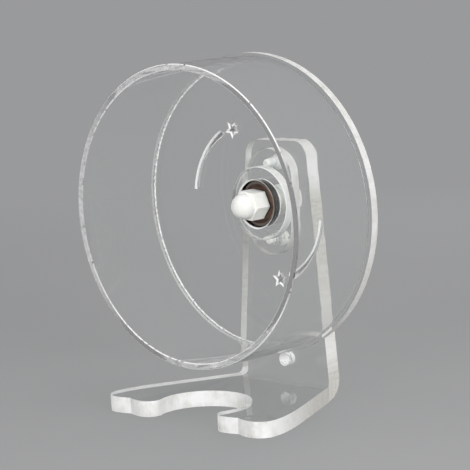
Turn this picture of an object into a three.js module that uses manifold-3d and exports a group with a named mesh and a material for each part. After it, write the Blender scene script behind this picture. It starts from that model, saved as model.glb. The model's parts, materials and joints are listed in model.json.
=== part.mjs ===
// Clear exercise wheel on a bent clear stand
// Sizes are in millimetres, +Z is up and the wheel turns about an axis along Y.
// The open side of the drum faces -Y. A clear tube is glued to a clear disc, the disc
// turns on one deep-groove ball bearing, and the bearing's bolt goes back through an
// oval plate and the upright of a stand that is bent from one sheet.

import * as THREE from 'three';
import { mergeVertices } from 'three/addons/utils/BufferGeometryUtils.js';
import Module from 'manifold-3d';

const wasm = await Module();
wasm.setup();

// Wheel
const drumDiameter = 140;
const drumWall = 3;
const drumLength = 48.5;
const discThickness = 4;
const discOverhang = 1;
const hubRingDiameter = 35;
const hubRingThickness = 5;

// Cut-outs in the disc, each one repeated half a turn away
const starSpan = 9;
const starPitchRadius = 37;
const starAngle = 21.4;
const starWaistShare = 0.46;
const tailRadius = 40;
const tailWidth = 3.4;
const tailTipWidth = 0.8;
const tailStartAngle = 33.6;
const tailEndAngle = 82;

// Ball bearing, 8 x 22 x 7
const bearingBore = 8;
const bearingDiameter = 22;
const bearingWidth = 7;
const ballDiameter = 3.97;
const ballCount = 7;
const ballPitchDiameter = 15;
const outerLandDiameter = 17.8;
const innerLandDiameter = 12.1;
const raceClearance = 0.15;
const shieldThickness = 0.35;
const shieldInset = 0.2;
const shieldSeatDepth = 0.5;
const cageRadialWidth = 1.6;
const cageCrown = 0.8;
const cageWeb = 0.5;

// Bolt, cap nut and spacer
const nutAcrossFlats = 13;
const nutHexHeight = 8.5;
const nutCollarLength = 1.5;
const nutDomeDiameter = 12;
const nutThreadReach = 10;
const nutTurn = 24;
const boltHeadHeight = 5.3;
const boltHeadChamfer = 1;
const spacerDiameter = 12;
const runningGap = 2;

// Oval plate and its two screws
const ovalWidth = 27;
const ovalHeight = 50.5;
const ovalThickness = 5;
const screwSpacing = 36.5;
const screwDiameter = 4;
const screwProud = 1.5;
const screwTipChamfer = 0.6;
const screwHeadDiameter = 7.6;
const screwHeadHeight = 2.8;
const screwSlotWidth = 1;
const screwSlotDepth = 1.2;

// Stand, bent from one sheet
const sheetThickness = 7.5;
const bendInnerRadius = 2.5;
const axisHeight = 94.5;
const uprightTopAboveAxis = 28.5;
const uprightTopWidth = 36;
const foldWidth = 56;
const uprightCornerRadius = 8;
const lowerHoleDiameter = 6.5;
const lowerHoleHeight = 9.7;
const footReach = 7;
const baseWidth = 102;
const baseCornerRadius = 8;
const flankStraightLength = 36.5;
const flankStraightSpread = 15.5;
const flankBowRearShare = 0.44;
const flankBowFrontShare = 0.23;
const cutoutRadius = 22;
const cutoutDepth = 38;
const cutoutLipRadius = 6;
const toeNotchDepth = 1.8;

// Fits: a press or screw fit, and a hole that a screw passes with play
const seatClearance = 0.15;
const screwHoleDiameter = 5.5;
const cutOverrun = 1;

// Facets
const drumSegments = 108;
const ringSegments = 60;
const raceSegments = 36;
const smallSegments = 24;
const ballSegments = 12;
const ballRings = 8;
const arcSteps = 10;
const grooveSteps = 6;
const toeSteps = 5;
const quarterTurn = Math.PI / 2;
const sixthTurn = Math.PI / 3;

// Places along the wheel's axis, counted from the drum's open rim towards the stand
const discFront = drumLength;
const discBack = discFront + discThickness;
const hubBack = discBack + hubRingThickness;
const bearingFront = hubBack - bearingWidth;
const bearingMiddle = hubBack - bearingWidth / 2;
const ovalFront = hubBack + runningGap;
const uprightFront = ovalFront + ovalThickness;
const uprightBack = uprightFront + sheetThickness;
const boltBack = uprightBack + boltHeadHeight;
const capHexFront = bearingFront - nutHexHeight;
const frontmost = Math.min(-footReach, 0);
const depthMiddle = (frontmost + boltBack) / 2;

// Heights above the surface that the stand rests on
const baseTop = sheetThickness;
const uprightTop = axisHeight + uprightTopAboveAxis;

// Plain numbers that several pieces share
const boltRadius = bearingBore / 2 - seatClearance;
const bearingSeatRadius = bearingDiameter / 2 + seatClearance;
const discRadius = drumDiameter / 2 + discOverhang;
const ballPitchRadius = ballPitchDiameter / 2;
const grooveRadius = ballDiameter / 2 + raceClearance;

// Finishes
const finishes = {
  clear: { color: 0xe9f1f2, roughness: 0.06, metalness: 0, transparent: true, opacity: 0.35 },
  nylon: { color: 0xf2f0ea, roughness: 0.45, metalness: 0 },
  steel: { color: 0xa9a6a2, roughness: 0.2, metalness: 1 },
  shield: { color: 0x6d5f58, roughness: 0.28, metalness: 1 },
  cage: { color: 0x8a7f70, roughness: 0.5, metalness: 0 },
};

const radians = THREE.MathUtils.degToRad;

// Points on an arc, from one angle to the other, both ends included
function arcPoints(centreX, centreY, radius, fromAngle, toAngle, steps) {
  return Array.from({ length: steps + 1 }, (unused, index) => {
    const angle = fromAngle + ((toAngle - fromAngle) * index) / steps;
    return new THREE.Vector2(centreX + radius * Math.cos(angle), centreY + radius * Math.sin(angle));
  });
}

// Points on a whole circle, without repeating the first
function circlePoints(centreX, centreY, radius, segments) {
  return arcPoints(centreX, centreY, radius, 0, 2 * Math.PI, segments).slice(0, segments);
}

// A closed geometry with shared corners and no slivers
function welded(geometry) {
  geometry.deleteAttribute('normal');
  geometry.deleteAttribute('uv');
  const merged = mergeVertices(geometry);
  const corners = merged.index.array;
  const kept = [];
  for (let first = 0; first < corners.length; first += 3) {
    const [a, b, c] = corners.slice(first, first + 3);
    if (a !== b && b !== c && c !== a) kept.push(a, b, c);
  }
  merged.setIndex(kept);
  merged.computeVertexNormals();
  return merged;
}

// A body turned about Y from a closed profile of (radius, y) points, listed anticlockwise
function turned(profile, segments) {
  return welded(new THREE.LatheGeometry([...profile, profile[0]], segments));
}

// A ring with square corners, from one y to the other
function ring(innerRadius, outerRadius, front, back, segments) {
  const profile = [
    new THREE.Vector2(innerRadius, front),
    new THREE.Vector2(outerRadius, front),
    new THREE.Vector2(outerRadius, back),
    new THREE.Vector2(innerRadius, back),
  ];
  return turned(profile, segments);
}

// An upright plate: the outline is drawn in X and Z, the thickness runs from front to back
function uprightPlate(outline, holes, front, back) {
  const shape = new THREE.Shape(outline);
  shape.holes = holes.map((points) => new THREE.Path(points));
  const geometry = new THREE.ExtrudeGeometry(shape, { depth: back - front, bevelEnabled: false });
  geometry.rotateX(quarterTurn);
  geometry.translate(0, back, 0);
  return welded(geometry);
}

// A round bar along Y
function bar(radius, front, back, segments) {
  const geometry = new THREE.CylinderGeometry(radius, radius, back - front, segments);
  geometry.translate(0, (front + back) / 2, 0);
  return welded(geometry);
}

// A hexagonal bar along Y with two corners pointing up and down, or turned from there.
// A turn is anticlockwise as seen from the drum's open side.
function hexBar(acrossFlats, front, back, turn = 0) {
  return bar(acrossFlats / 2 / Math.cos(sixthTurn / 2), front, back, 6).rotateY(-turn);
}

// Boolean work on closed geometries
function toSolid(geometry) {
  return new wasm.Manifold(new wasm.Mesh({
    numProp: 3,
    vertProperties: new Float32Array(geometry.attributes.position.array),
    triVerts: new Uint32Array(geometry.index.array),
  }));
}

function fromSolid(solid) {
  const mesh = solid.getMesh();
  const geometry = new THREE.BufferGeometry();
  geometry.setAttribute('position', new THREE.BufferAttribute(mesh.vertProperties, 3));
  geometry.setIndex(new THREE.BufferAttribute(mesh.triVerts, 1));
  geometry.computeVertexNormals();
  return geometry;
}

function cut(geometry, ...tools) {
  return fromSolid(tools.reduce((solid, tool) => solid.subtract(toSolid(tool)), toSolid(geometry)));
}

function join(geometry, ...others) {
  return fromSolid(others.reduce((solid, other) => solid.add(toSolid(other)), toSolid(geometry)));
}

function common(geometry, ...others) {
  return fromSolid(others.reduce((solid, other) => solid.intersect(toSolid(other)), toSolid(geometry)));
}

const wheelAndStand = new THREE.Group();
wheelAndStand.position.y = -depthMiddle;
const onAxis = new THREE.Group();
onAxis.position.z = axisHeight;
wheelAndStand.add(onAxis);

function place(group, name, geometry, finish) {
  const mesh = new THREE.Mesh(geometry, new THREE.MeshStandardMaterial(finishes[finish]));
  mesh.name = name;
  group.add(mesh);
  return mesh;
}

// Drum: a length of clear tube
const drumRadius = drumDiameter / 2;
place(onAxis, 'drum_ring', ring(drumRadius - drumWall, drumRadius, 0, discFront, drumSegments), 'clear');

// Back disc with its bearing seat, two stars and two tapering tails
function starPoints(turn) {
  const angle = radians(starAngle) + turn;
  const centreX = -starPitchRadius * Math.sin(angle);
  const centreZ = starPitchRadius * Math.cos(angle);
  const tips = 5;
  return Array.from({ length: 2 * tips }, (unused, index) => {
    const reach = (starSpan / 2) * (index % 2 === 0 ? 1 : starWaistShare);
    const around = turn - quarterTurn + (index * Math.PI) / tips;
    return new THREE.Vector2(centreX + reach * Math.cos(around), centreZ + reach * Math.sin(around));
  });
}

function tailPoints(turn) {
  const start = quarterTurn + radians(tailStartAngle) + turn;
  const end = quarterTurn + radians(tailEndAngle) + turn;
  const capRadius = tailWidth / 2;
  const capMiddle = tailRadius - capRadius;
  const cap = arcPoints(
    capMiddle * Math.cos(start), capMiddle * Math.sin(start), capRadius, start - Math.PI, start, arcSteps);
  const outer = arcPoints(0, 0, tailRadius, start, end, 2 * arcSteps).slice(1);
  const inner = outer.map((point, index) => {
    const share = (index + 1) / outer.length;
    const width = tailWidth + (tailTipWidth - tailWidth) * share;
    return point.clone().multiplyScalar((tailRadius - width) / tailRadius);
  });
  return [...cap, ...outer, ...inner.reverse()];
}

const discHoles = [
  circlePoints(0, 0, bearingSeatRadius, ringSegments),
  starPoints(0), starPoints(Math.PI),
  tailPoints(0), tailPoints(Math.PI),
];
const disc = uprightPlate(circlePoints(0, 0, discRadius, drumSegments), discHoles, discFront, discBack);
place(onAxis, 'back_disc', disc, 'clear');

// Hub ring: a clear collar glued behind the disc, which takes the rest of the bearing
const hubRing = ring(bearingSeatRadius, hubRingDiameter / 2, discBack, hubBack, ringSegments);
place(onAxis, 'hub_ring', hubRing, 'clear');

// Bearing races, each turned with its ball groove
const halfWidth = bearingWidth / 2;
const grooveWidthAt = (landRadius) => Math.sqrt(grooveRadius ** 2 - (landRadius - ballPitchRadius) ** 2);
const grooveArc = (landRadius, middle) => {
  const edge = Math.atan2(grooveWidthAt(landRadius), Math.abs(landRadius - ballPitchRadius));
  return arcPoints(ballPitchRadius, 0, grooveRadius, middle + edge, middle - edge, grooveSteps);
};

const outerLand = outerLandDiameter / 2;
const innerLand = innerLandDiameter / 2;
const shieldSeatRadius = outerLand + shieldSeatDepth;
const shieldBack = halfWidth - shieldInset;
const shieldFront = shieldBack - shieldThickness;
const seatShoulder = shieldFront - raceClearance;

const outerRace = turned([
  new THREE.Vector2(shieldSeatRadius, -halfWidth),
  new THREE.Vector2(bearingDiameter / 2, -halfWidth),
  new THREE.Vector2(bearingDiameter / 2, halfWidth),
  new THREE.Vector2(shieldSeatRadius, halfWidth),
  new THREE.Vector2(shieldSeatRadius, seatShoulder),
  new THREE.Vector2(outerLand, seatShoulder),
  ...grooveArc(outerLand, 0),
  new THREE.Vector2(outerLand, -seatShoulder),
  new THREE.Vector2(shieldSeatRadius, -seatShoulder),
], raceSegments);
place(onAxis, 'bearing_outer_race', outerRace, 'steel').position.y = bearingMiddle;

const innerRace = turned([
  new THREE.Vector2(bearingBore / 2, -halfWidth),
  new THREE.Vector2(innerLand, -halfWidth),
  ...grooveArc(innerLand, Math.PI),
  new THREE.Vector2(innerLand, halfWidth),
  new THREE.Vector2(bearingBore / 2, halfWidth),
], raceSegments);
place(onAxis, 'bearing_inner_race', innerRace, 'steel').position.y = bearingMiddle;

// Balls, spaced evenly round the bearing
const ballAngles = Array.from({ length: ballCount }, (unused, index) => (2 * Math.PI * index) / ballCount);
const ballPlaces = ballAngles.map((angle) => new THREE.Vector3(
  ballPitchRadius * Math.sin(angle), 0, ballPitchRadius * Math.cos(angle)));
ballPlaces.forEach((centre, index) => {
  const ball = welded(new THREE.SphereGeometry(ballDiameter / 2, ballSegments, ballRings));
  ball.translate(centre.x, centre.y, centre.z);
  place(onAxis, `bearing_ball_${index + 1}`, ball, 'steel').position.y = bearingMiddle;
});

// Cage: a crown ring with one open pocket for each ball
const pockets = ballPlaces.map((centre) => {
  const pocket = welded(new THREE.SphereGeometry(grooveRadius, ballSegments, ballRings));
  return pocket.translate(centre.x, centre.y, centre.z);
});
const cageInner = ballPitchRadius - cageRadialWidth / 2;
const cageOuter = ballPitchRadius + cageRadialWidth / 2;
const crown = ring(cageInner, cageOuter, -cageCrown, grooveRadius + cageWeb, raceSegments);
place(onAxis, 'bearing_cage', cut(crown, ...pockets), 'cage').position.y = bearingMiddle;

// Shields: two thin washers held in the outer race, clear of the inner one
const shieldInner = innerLand + 2 * raceClearance;
const shieldOuter = shieldSeatRadius - raceClearance;
const frontShield = ring(shieldInner, shieldOuter, -shieldBack, -shieldFront, raceSegments);
const rearShield = ring(shieldInner, shieldOuter, shieldFront, shieldBack, raceSegments);
place(onAxis, 'bearing_front_shield', frontShield, 'shield').position.y = bearingMiddle;
place(onAxis, 'bearing_rear_shield', rearShield, 'shield').position.y = bearingMiddle;

// Spacer between the inner race and the oval plate
const spacer = ring(bearingBore / 2, spacerDiameter / 2, hubBack, ovalFront, raceSegments);
place(onAxis, 'axle_spacer', spacer, 'nylon');

// Bolt: its head bears on the back of the upright and its end is inside the cap nut
const chamferCone = turned([
  new THREE.Vector2(0, uprightBack),
  new THREE.Vector2(nutAcrossFlats / 2 + boltHeadHeight, uprightBack),
  new THREE.Vector2(nutAcrossFlats / 2 + boltHeadChamfer, boltBack - boltHeadChamfer),
  new THREE.Vector2(nutAcrossFlats / 2, boltBack),
  new THREE.Vector2(0, boltBack),
], raceSegments);
const boltHead = common(hexBar(nutAcrossFlats, uprightBack, boltBack), chamferCone);
const boltFront = bearingFront - nutThreadReach + seatClearance;
const shank = bar(boltRadius, boltFront, uprightBack + boltHeadHeight / 2, smallSegments);
place(onAxis, 'axle_bolt', join(shank, boltHead), 'nylon');

// Cap nut: a hexagon with a dome on a short collar, bored from behind
const domeRadius = nutDomeDiameter / 2;
const domeArc = arcPoints(0, capHexFront - nutCollarLength, domeRadius, -quarterTurn, 0, arcSteps);
const dome = turned([...domeArc, new THREE.Vector2(domeRadius, bearingFront - nutHexHeight / 2),
  new THREE.Vector2(0, bearingFront - nutHexHeight / 2)], smallSegments);
const capHex = hexBar(nutAcrossFlats, capHexFront, bearingFront, radians(nutTurn));
const capBore = bar(boltRadius + seatClearance, bearingFront - nutThreadReach,
  bearingFront + cutOverrun, smallSegments);
place(onAxis, 'cap_nut', cut(join(dome, capHex), capBore), 'nylon');

// Oval plate, screwed to the upright behind the wheel
const ovalEnd = ovalWidth / 2;
const ovalRise = ovalHeight / 2 - ovalEnd;
const ovalOutline = [
  ...arcPoints(0, ovalRise, ovalEnd, 0, Math.PI, 2 * arcSteps),
  ...arcPoints(0, -ovalRise, ovalEnd, Math.PI, 2 * Math.PI, 2 * arcSteps),
];
const axleHole = circlePoints(0, 0, bearingBore / 2, smallSegments);
const screwHeights = [screwSpacing / 2, -screwSpacing / 2];
const tappedHoles = screwHeights.map((height) =>
  circlePoints(0, height, screwDiameter / 2 + seatClearance, smallSegments));
const oval = uprightPlate(ovalOutline, [axleHole, ...tappedHoles], ovalFront, uprightFront);
place(onAxis, 'oval_plate', oval, 'clear');

// Two slotted screws, driven from behind, whose ends show at the front of the oval plate
screwHeights.forEach((height, index) => {
  const end = ovalFront - screwProud;
  const headBack = uprightBack + screwHeadHeight;
  const radius = screwDiameter / 2;
  const screw = turned([
    new THREE.Vector2(0, end),
    new THREE.Vector2(radius - screwTipChamfer, end),
    new THREE.Vector2(radius, end + screwTipChamfer),
    new THREE.Vector2(radius, uprightBack),
    new THREE.Vector2(screwHeadDiameter / 2, uprightBack),
    new THREE.Vector2(screwHeadDiameter / 2, headBack),
    new THREE.Vector2(0, headBack),
  ], smallSegments);
  const slotLength = screwHeadDiameter + 2 * cutOverrun;
  const slot = new THREE.BoxGeometry(slotLength, screwSlotDepth + cutOverrun, screwSlotWidth);
  slot.translate(0, headBack + (cutOverrun - screwSlotDepth) / 2, 0);
  const slotted = cut(screw, welded(slot));
  place(onAxis, index === 0 ? 'upper_plate_screw' : 'lower_plate_screw', slotted, 'nylon').position.z = height;
});

// Stand: the bent sheet's side view, trimmed to the plan of the base and the face of the upright.
// Each foot ends in two shallow rounded toes with a notch between them.
const bendOuterRadius = bendInnerRadius + sheetThickness;
const bendY = uprightBack - bendOuterRadius;
const sideView = [
  new THREE.Vector2(-footReach, 0),
  ...arcPoints(bendY, bendOuterRadius, bendOuterRadius, -quarterTurn, 0, arcSteps),
  new THREE.Vector2(uprightBack, uprightTop),
  new THREE.Vector2(uprightFront, uprightTop),
  ...arcPoints(bendY, bendOuterRadius, bendInnerRadius, 0, -quarterTurn, arcSteps),
  new THREE.Vector2(-footReach, baseTop),
];
const sheetWidth = baseWidth + 2 * cutOverrun;
const bentSheet = new THREE.ExtrudeGeometry(new THREE.Shape(sideView), { depth: sheetWidth, bevelEnabled: false });
bentSheet.rotateX(quarterTurn);
bentSheet.rotateZ(quarterTurn);
bentSheet.translate(-sheetWidth / 2, 0, 0);

const halfFold = foldWidth / 2;
const halfBase = baseWidth / 2;
const footFront = -footReach;
const bowStartX = halfFold + flankStraightSpread;
const bowStartY = bendY - flankStraightLength + bendInnerRadius;
const bowEndY = footFront + baseCornerRadius;
const bowDrop = bowStartY - bowEndY;
const rearHandle = flankBowRearShare * bowDrop;
const rearHandleSpread = rearHandle * flankStraightSpread / flankStraightLength;
const bow = new THREE.CubicBezierCurve(
  new THREE.Vector2(halfBase, bowEndY),
  new THREE.Vector2(halfBase, bowEndY + flankBowFrontShare * bowDrop),
  new THREE.Vector2(bowStartX + rearHandleSpread, bowStartY - rearHandle),
  new THREE.Vector2(bowStartX, bowStartY));
const cutoutMiddleY = footFront + cutoutDepth - cutoutRadius;
const lipY = footFront + cutoutLipRadius;
const lipX = Math.sqrt((cutoutRadius + cutoutLipRadius) ** 2 - (cutoutMiddleY - lipY) ** 2);
const lipAngle = Math.atan2(lipY - cutoutMiddleY, lipX);
const cornerArcX = halfBase - baseCornerRadius;
const halfToe = (cornerArcX - lipX) / 2;
const toeRadius = (halfToe ** 2 + toeNotchDepth ** 2) / (2 * toeNotchDepth);
const toeAngle = Math.atan2(halfToe, toeRadius - toeNotchDepth);
const toeY = footFront + toeRadius;
const front = -quarterTurn;
const rightHalf = [
  ...arcPoints(0, cutoutMiddleY, cutoutRadius, quarterTurn, lipAngle, 2 * arcSteps),
  ...arcPoints(lipX, lipY, cutoutLipRadius, lipAngle + Math.PI, 3 * quarterTurn, arcSteps).slice(1),
  ...arcPoints(lipX, toeY, toeRadius, front, front + toeAngle, toeSteps).slice(1),
  ...arcPoints(cornerArcX, toeY, toeRadius, front - toeAngle, front, toeSteps).slice(1),
  ...arcPoints(cornerArcX, bowEndY, baseCornerRadius, front, 0, arcSteps).slice(1),
  ...bow.getPoints(2 * arcSteps).slice(1),
  new THREE.Vector2(halfFold, bendY + bendInnerRadius),
  new THREE.Vector2(halfFold, uprightBack + cutOverrun),
];
const leftHalf = rightHalf.slice(1).reverse().map((point) => new THREE.Vector2(-point.x, point.y));
const basePlan = new THREE.ExtrudeGeometry(
  new THREE.Shape([...rightHalf, ...leftHalf]),
  { depth: uprightTop + 2 * cutOverrun, bevelEnabled: false });
basePlan.translate(0, 0, -cutOverrun);

const halfTop = uprightTopWidth / 2;
const bendTop = bendOuterRadius;
const taper = Math.atan2(halfFold - halfTop, uprightTop - bendTop);
const cornerX = halfTop - uprightCornerRadius * (1 - Math.tan(taper)) / Math.cos(taper);
const cornerZ = uprightTop - uprightCornerRadius;
const rightFace = [
  new THREE.Vector2(halfBase + cutOverrun, -cutOverrun),
  new THREE.Vector2(halfBase + cutOverrun, bendTop),
  new THREE.Vector2(halfFold, bendTop),
  ...arcPoints(cornerX, cornerZ, uprightCornerRadius, taper, quarterTurn, arcSteps),
];
const leftFace = rightFace.slice().reverse().map((point) => new THREE.Vector2(-point.x, point.y));
const faceView = uprightPlate([...rightFace, ...leftFace], [],
  footFront - cutOverrun, uprightBack + cutOverrun);

const passThrough = (radius, height) => {
  const tool = bar(radius, uprightFront - cutOverrun, uprightBack + cutOverrun, smallSegments);
  return tool.translate(0, 0, height);
};
const stand = cut(
  common(welded(bentSheet), welded(basePlan), faceView),
  passThrough(bearingBore / 2, axisHeight),
  ...screwHeights.map((height) => passThrough(screwHoleDiameter / 2, axisHeight + height)),
  passThrough(lowerHoleDiameter / 2, baseTop + lowerHoleHeight));
place(wheelAndStand, 'stand', stand, 'clear');

export default wheelAndStand;
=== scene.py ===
# %% [markdown]
# # A clear exercise wheel on a bent stand
# The wheel is a short clear tube glued to a clear disc. The disc turns on one ball bearing,
# whose bolt goes back through an oval plate and the upright of a stand bent from thick
# sheet. Nearly everything is transparent, so the eye reads it by its edges: sawn rims,
# cut outlines and drilled holes scatter light and look white, while the faces only mirror
# and bend what is behind them. The lesson models each piece with its edges as real faces,
# and then gives faces and edges different finishes.
#
# The construction is loaded first, as a fixed frame in metres with +Z up. Its pieces are
# never moved. A finer piece stands in for each of them but the bearing's balls and cage.

# %% Load the frame
import json
import math

import bpy
from mathutils import Matrix, Vector
from mathutils.geometry import interpolate_bezier


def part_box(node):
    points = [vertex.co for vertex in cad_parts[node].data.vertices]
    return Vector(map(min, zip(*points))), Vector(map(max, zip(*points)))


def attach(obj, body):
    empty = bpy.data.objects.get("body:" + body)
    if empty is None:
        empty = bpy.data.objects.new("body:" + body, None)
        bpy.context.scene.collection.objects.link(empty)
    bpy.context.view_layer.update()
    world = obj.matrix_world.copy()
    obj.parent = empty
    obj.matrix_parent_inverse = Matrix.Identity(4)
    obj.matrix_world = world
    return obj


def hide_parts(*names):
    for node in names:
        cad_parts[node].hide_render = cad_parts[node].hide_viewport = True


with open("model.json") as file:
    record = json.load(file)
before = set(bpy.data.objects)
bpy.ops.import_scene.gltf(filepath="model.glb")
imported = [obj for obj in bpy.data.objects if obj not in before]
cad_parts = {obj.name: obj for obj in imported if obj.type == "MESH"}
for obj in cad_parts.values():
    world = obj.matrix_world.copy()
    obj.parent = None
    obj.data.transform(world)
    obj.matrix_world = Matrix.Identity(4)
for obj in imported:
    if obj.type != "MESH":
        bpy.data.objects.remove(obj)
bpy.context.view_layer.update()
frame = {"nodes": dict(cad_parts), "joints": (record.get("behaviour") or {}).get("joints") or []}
MM = 0.001

# %% [markdown]
# Places come from the frame: each node's box says where a piece starts and ends. The wheel's
# axis runs along Y through the first joint. What a box can't say, such as the wall of a tube
# or a hole's radius, is a named value beside the piece that has it.

# %% Places along the axis
axis_height = frame["joints"][0]["pos_m"][2]
AXIS = Vector((0, 0, axis_height))
ALONG_AXIS = Vector((0, 1, 0))


def depths(node):
    """Where a node starts and ends along the wheel's axis."""
    low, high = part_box(node)
    return low.y, high.y


def radius_of(node):
    """The outer radius of a node that is round about the wheel's axis."""
    low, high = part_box(node)
    return (high.x - low.x) / 2


rim_front, drum_back = depths("drum_ring")
disc_front, disc_back = depths("back_disc")
bearing_front, bearing_back = depths("bearing_outer_race")
oval_front, upright_front = depths("oval_plate")
spacer_front, spacer_back = depths("axle_spacer")
print("axis height", round(axis_height, 4), "open rim at y", round(rim_front, 4))

# %% [markdown]
# The camera stands to the right of the open side and a little above it, at the angle that
# was fitted to the two rims and the foot: 44 degrees round, 9 degrees down, and a slight
# lean. The lens is long, so the far rim looks almost as large as the near one.

# %% Camera
CAMERA_PLACE = Vector((0.69908, -0.73041, 0.24102))
CAMERA_ROUND = math.radians(43.80)
CAMERA_DOWN = math.radians(8.95)
CAMERA_LEAN = math.radians(2.28)
LENS_MM = 168.5

bpy.ops.object.camera_add(location=CAMERA_PLACE)
camera = bpy.context.object
camera.rotation_mode = "QUATERNION"
aim = Matrix.Rotation(CAMERA_ROUND, 4, "Z") @ Matrix.Rotation(math.pi / 2 - CAMERA_DOWN, 4, "X")
aim = aim @ Matrix.Rotation(-CAMERA_LEAN, 4, "Z")
camera.rotation_quaternion = aim.to_quaternion()
camera.data.lens = LENS_MM
bpy.context.scene.camera = camera
print("camera looks along", [round(part, 3) for part in aim.to_3x3() @ Vector((0, 0, -1))])

# %% [markdown]
# Working by operators needs a few habits: everything is deselected before a primitive is
# added, faces and edges are selected in code by their place or their normal, and a finished
# piece has its place in its mesh and its object at the origin.

# %% Selecting and editing
KINDS = {"VERT": "vertices", "EDGE": "edges", "FACE": "polygons"}


def start_clean():
    """Nothing is selected, so that an operator acts only on what is added next."""
    bpy.ops.object.select_all(action="DESELECT")


def activate(piece):
    """Makes one object the only selected and the active one."""
    start_clean()
    piece.select_set(True)
    bpy.context.view_layer.objects.active = piece


def finish_placing(name):
    """Names the new primitive and moves its place, turn and scale into its mesh."""
    piece = bpy.context.object
    piece.name = name
    piece.data.name = name
    bpy.ops.object.transform_apply(location=True, rotation=True, scale=True)
    return piece


def edit(piece, kind, test=None):
    """Opens a piece in edit mode, with the elements that pass a test selected, or all."""
    activate(piece)
    bpy.context.tool_settings.mesh_select_mode = [kind == each for each in KINDS]
    for each, group in KINDS.items():
        elements = getattr(piece.data, group)
        chosen = [each == kind and (test is None or bool(test(one))) for one in elements]
        elements.foreach_set("select", chosen)
    bpy.ops.object.mode_set(mode="EDIT")


def leave_edit():
    bpy.ops.object.mode_set(mode="OBJECT")


print("edit mode can select", ", ".join(KINDS.values()))

# %% [markdown]
# The plainest pieces start as a primitive: a block is a cube between two corners, and a bar
# is a cylinder laid along Y. The larger a circle looks, the more sides stand for it.

# %% Blocks and bars
WHEEL_SIDES = 192
HUB_SIDES = 96
HOLE_SIDES = 64
SCREW_SIDES = 48


def block(name, low, high):
    """A closed box between two opposite corners."""
    start_clean()
    middle = [(start + end) / 2 for start, end in zip(low, high)]
    size = [end - start for start, end in zip(low, high)]
    bpy.ops.mesh.primitive_cube_add(size=1, location=middle, scale=size)
    return finish_placing(name)


def bar(name, radius, front, back, sides, height=axis_height, turn=0):
    """A closed cylinder along Y at x = 0, centred at a height and turned about its length."""
    start_clean()
    bpy.ops.mesh.primitive_cylinder_add(
        vertices=sides, radius=radius, depth=back - front,
        location=(0, (front + back) / 2, height), rotation=(math.pi / 2, turn, 0))
    return finish_placing(name)


print("circles have", WHEEL_SIDES, HUB_SIDES, HOLE_SIDES, "or", SCREW_SIDES, "sides")

# %% [markdown]
# Other shapes are drawn. One vertex is extruded from point to point round an outline. A plate
# is that outline, filled and given its thickness. A turned piece is the outline of half a
# section, spun once round the axis.

# %% Drawn and turned pieces
WELD = 0.002 * MM


def one_vertex(name, place):
    """A mesh of one vertex, in edit mode and ready to be extruded."""
    start_clean()
    bpy.ops.mesh.primitive_plane_add(size=MM, location=place)
    piece = finish_placing(name)
    edit(piece, "VERT")
    bpy.ops.mesh.merge(type="CENTER")
    return piece


def extrude(way):
    bpy.ops.mesh.extrude_region_move(TRANSFORM_OT_translate={"value": way})


def weld():
    """Merges the vertices of the edited mesh that lie in one place."""
    bpy.ops.mesh.select_all(action="SELECT")
    bpy.ops.mesh.remove_doubles(threshold=WELD)


def close_mesh():
    """Turns all faces of the edited mesh outwards and leaves edit mode."""
    bpy.ops.mesh.select_all(action="SELECT")
    bpy.ops.mesh.normals_make_consistent(inside=False)
    leave_edit()


def drawn_loop(name, points):
    """A loop of edges, still in edit mode."""
    piece = one_vertex(name, points[0])
    for here, there in zip(points, points[1:] + points[:1]):
        extrude(there - here)
    weld()
    return piece


def drawn_plate(name, points, thickness):
    """A plate: a drawn loop is filled and extruded by a vector."""
    piece = drawn_loop(name, points)
    bpy.ops.mesh.edge_face_add()
    extrude(thickness)
    close_mesh()
    return piece


def turned(name, profile, sides, height=axis_height):
    """A closed profile of (radius, depth) points, spun once round a line along Y."""
    centre = Vector((0, 0, height))
    piece = drawn_loop(name, [centre + Vector((radius, depth, 0)) for radius, depth in profile])
    bpy.ops.mesh.spin(steps=sides, angle=2 * math.pi, center=centre, axis=ALONG_AXIS)
    weld()
    bpy.ops.mesh.dissolve_degenerate(threshold=WELD)
    close_mesh()
    return piece


print("vertices closer than", WELD / MM, "mm become one")

# %% [markdown]
# Holes and trims are booleans. The arrises of a sheet get a small chamfer and those of a
# moulding a rounding, because no real arris is sharp, and it is what catches the light.

# %% Cutting and bevelling
OVERRUN = 1 * MM


def modify(piece, kind, **settings):
    """Adds a modifier, makes its settings and applies it."""
    activate(piece)
    bpy.ops.object.modifier_add(type=kind)
    change = piece.modifiers[-1]
    for name, value in settings.items():
        setattr(change, name, value)
    bpy.ops.object.modifier_apply(modifier=change.name)


def boolean(piece, tool, operation):
    """Cuts, joins or trims a piece with a tool, which is used up."""
    modify(piece, "BOOLEAN", operation=operation, solver="EXACT", object=tool)
    bpy.data.objects.remove(tool)


def cut(piece, tool):
    boolean(piece, tool, "DIFFERENCE")


def bevel_arrises(piece, width, steps=1, sharper_than=40):
    """Chamfers or rounds every edge that is sharper than an angle in degrees."""
    modify(piece, "BEVEL", width=width, segments=steps, limit_method="ANGLE",
           angle_limit=math.radians(sharper_than))


print("a cutting tool runs", OVERRUN / MM, "mm past the piece")

# %% [markdown]
# All holes are round and run along Y. Each is given by its radius, its number of sides and
# its height, for the drilling and for telling later which faces are its walls. Outlines take
# their round stretches as arcs, and a symmetrical one is worked out for its right half only.

# %% Holes and arcs
def drill(piece, holes, front, back):
    """Cuts holes right through what lies between two depths."""
    for radius, sides, height in holes:
        cut(piece, bar("tool", radius, front - OVERRUN, back + OVERRUN, sides, height))


def in_a_hole(face, holes):
    return any(math.hypot(face.center.x, face.center.z - height) < radius + WELD
               for radius, sides, height in holes)


def polar(radius, angle, centre=(0, 0)):
    """The point at a radius and an angle in radians about a centre."""
    return centre[0] + radius * math.cos(angle), centre[1] + radius * math.sin(angle)


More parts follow.
